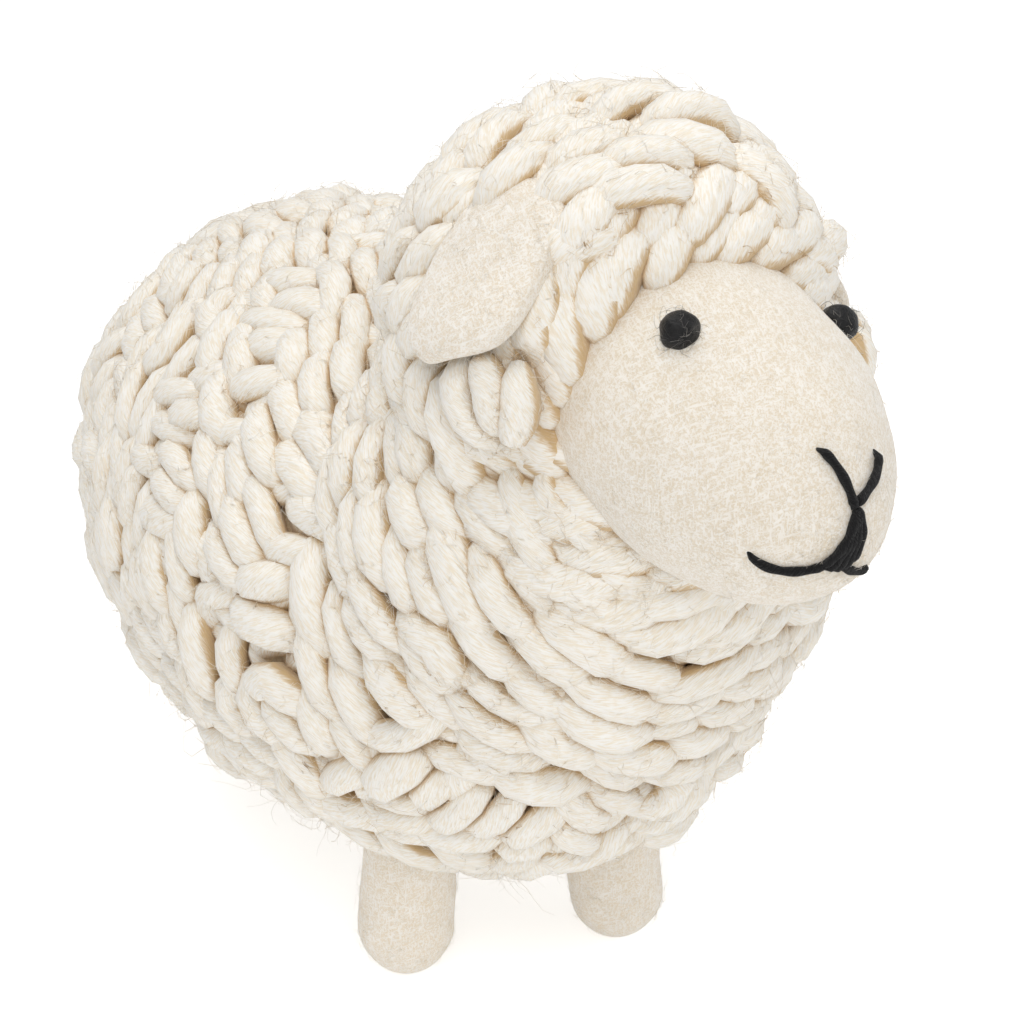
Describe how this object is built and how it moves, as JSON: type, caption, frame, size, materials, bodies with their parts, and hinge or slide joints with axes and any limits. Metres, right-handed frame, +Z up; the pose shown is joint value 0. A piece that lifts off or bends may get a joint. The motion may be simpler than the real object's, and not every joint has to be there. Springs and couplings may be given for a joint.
{
  "type": "sheep figurine",
  "caption": "Free-standing felted wool sheep with a fleece and cap of thick yarn, a stitched face, felt peg legs and felt ears that lift.",
  "frame": {"origin": "on the floor midway between the tip of the muzzle and the rump, on the middle plane of the body", "axes": "+Z up, -Y the way the sheep looks, +X to the sheep's left"},
  "size_m": [0.096, 0.193, 0.1471],
  "materials": {
    "yarn": "thick single-ply wool yarn, undyed cream, softly fuzzy",
    "core_felt": "needle-felted wool, undyed",
    "face_felt": "smooth needle-felted wool with short fuzz",
    "leg_felt": "dense needle-felted wool",
    "ear_felt": "thick soft wool felt",
    "ear_thread": "cream sewing yarn",
    "black_wool": "black wool, felted balls and stitched yarn",
    "dowel_wood": "plain turned beech"
  },
  "bodies": {
    "body": {"body_core": "core_felt", "cap_crown": "yarn", "cap_fringe": "yarn", "cap_nape": "yarn", "ear_stitch_left": "ear_thread", "ear_stitch_right": "ear_thread", "eye_left": "black_wool", "eye_right": "black_wool", "fleece_course_01": "yarn", "fleece_course_02": "yarn", "fleece_course_03": "yarn", "fleece_course_04": "yarn", "fleece_course_05": "yarn", "fleece_course_06": "yarn", "fleece_course_07": "yarn", "fleece_course_08": "yarn", "fleece_course_09": "yarn", "fleece_course_10": "yarn", "fleece_course_11": "yarn", "fleece_course_12": "yarn", "head_core": "face_felt", "leg_dowel_front_left": "dowel_wood", "leg_dowel_front_right": "dowel_wood", "leg_dowel_rear_left": "dowel_wood", "leg_dowel_rear_right": "dowel_wood", "leg_front_left": "leg_felt", "leg_front_right": "leg_felt", "leg_rear_left": "leg_felt", "leg_rear_right": "leg_felt", "mouth_left": "black_wool", "mouth_right": "black_wool", "neck_dowel": "dowel_wood", "neck_fleece": "yarn", "nose_arm_left": "black_wool", "nose_arm_right": "black_wool", "nose_stitch": "black_wool"},
    "ear_right": {"ear_right": "ear_felt"},
    "ear_left": {"ear_left": "ear_felt"}
  },
  "joints": [
    {"name": "ear_right_lift", "type": "hinge", "parent": "body", "child": "ear_right", "pos_m": [-0.0187, -0.05073, 0.13777], "axis": [-0.3146, 0.9455, -0.0843], "range_deg": [0, 50], "stiffness_Nm_per_rad": 0.002},
    {"name": "ear_left_lift", "type": "hinge", "parent": "body", "child": "ear_left", "pos_m": [0.02546, -0.04293, 0.13006], "axis": [-0.1759, -0.967, 0.1841], "range_deg": [0, 50], "stiffness_Nm_per_rad": 0.002}
  ]
}
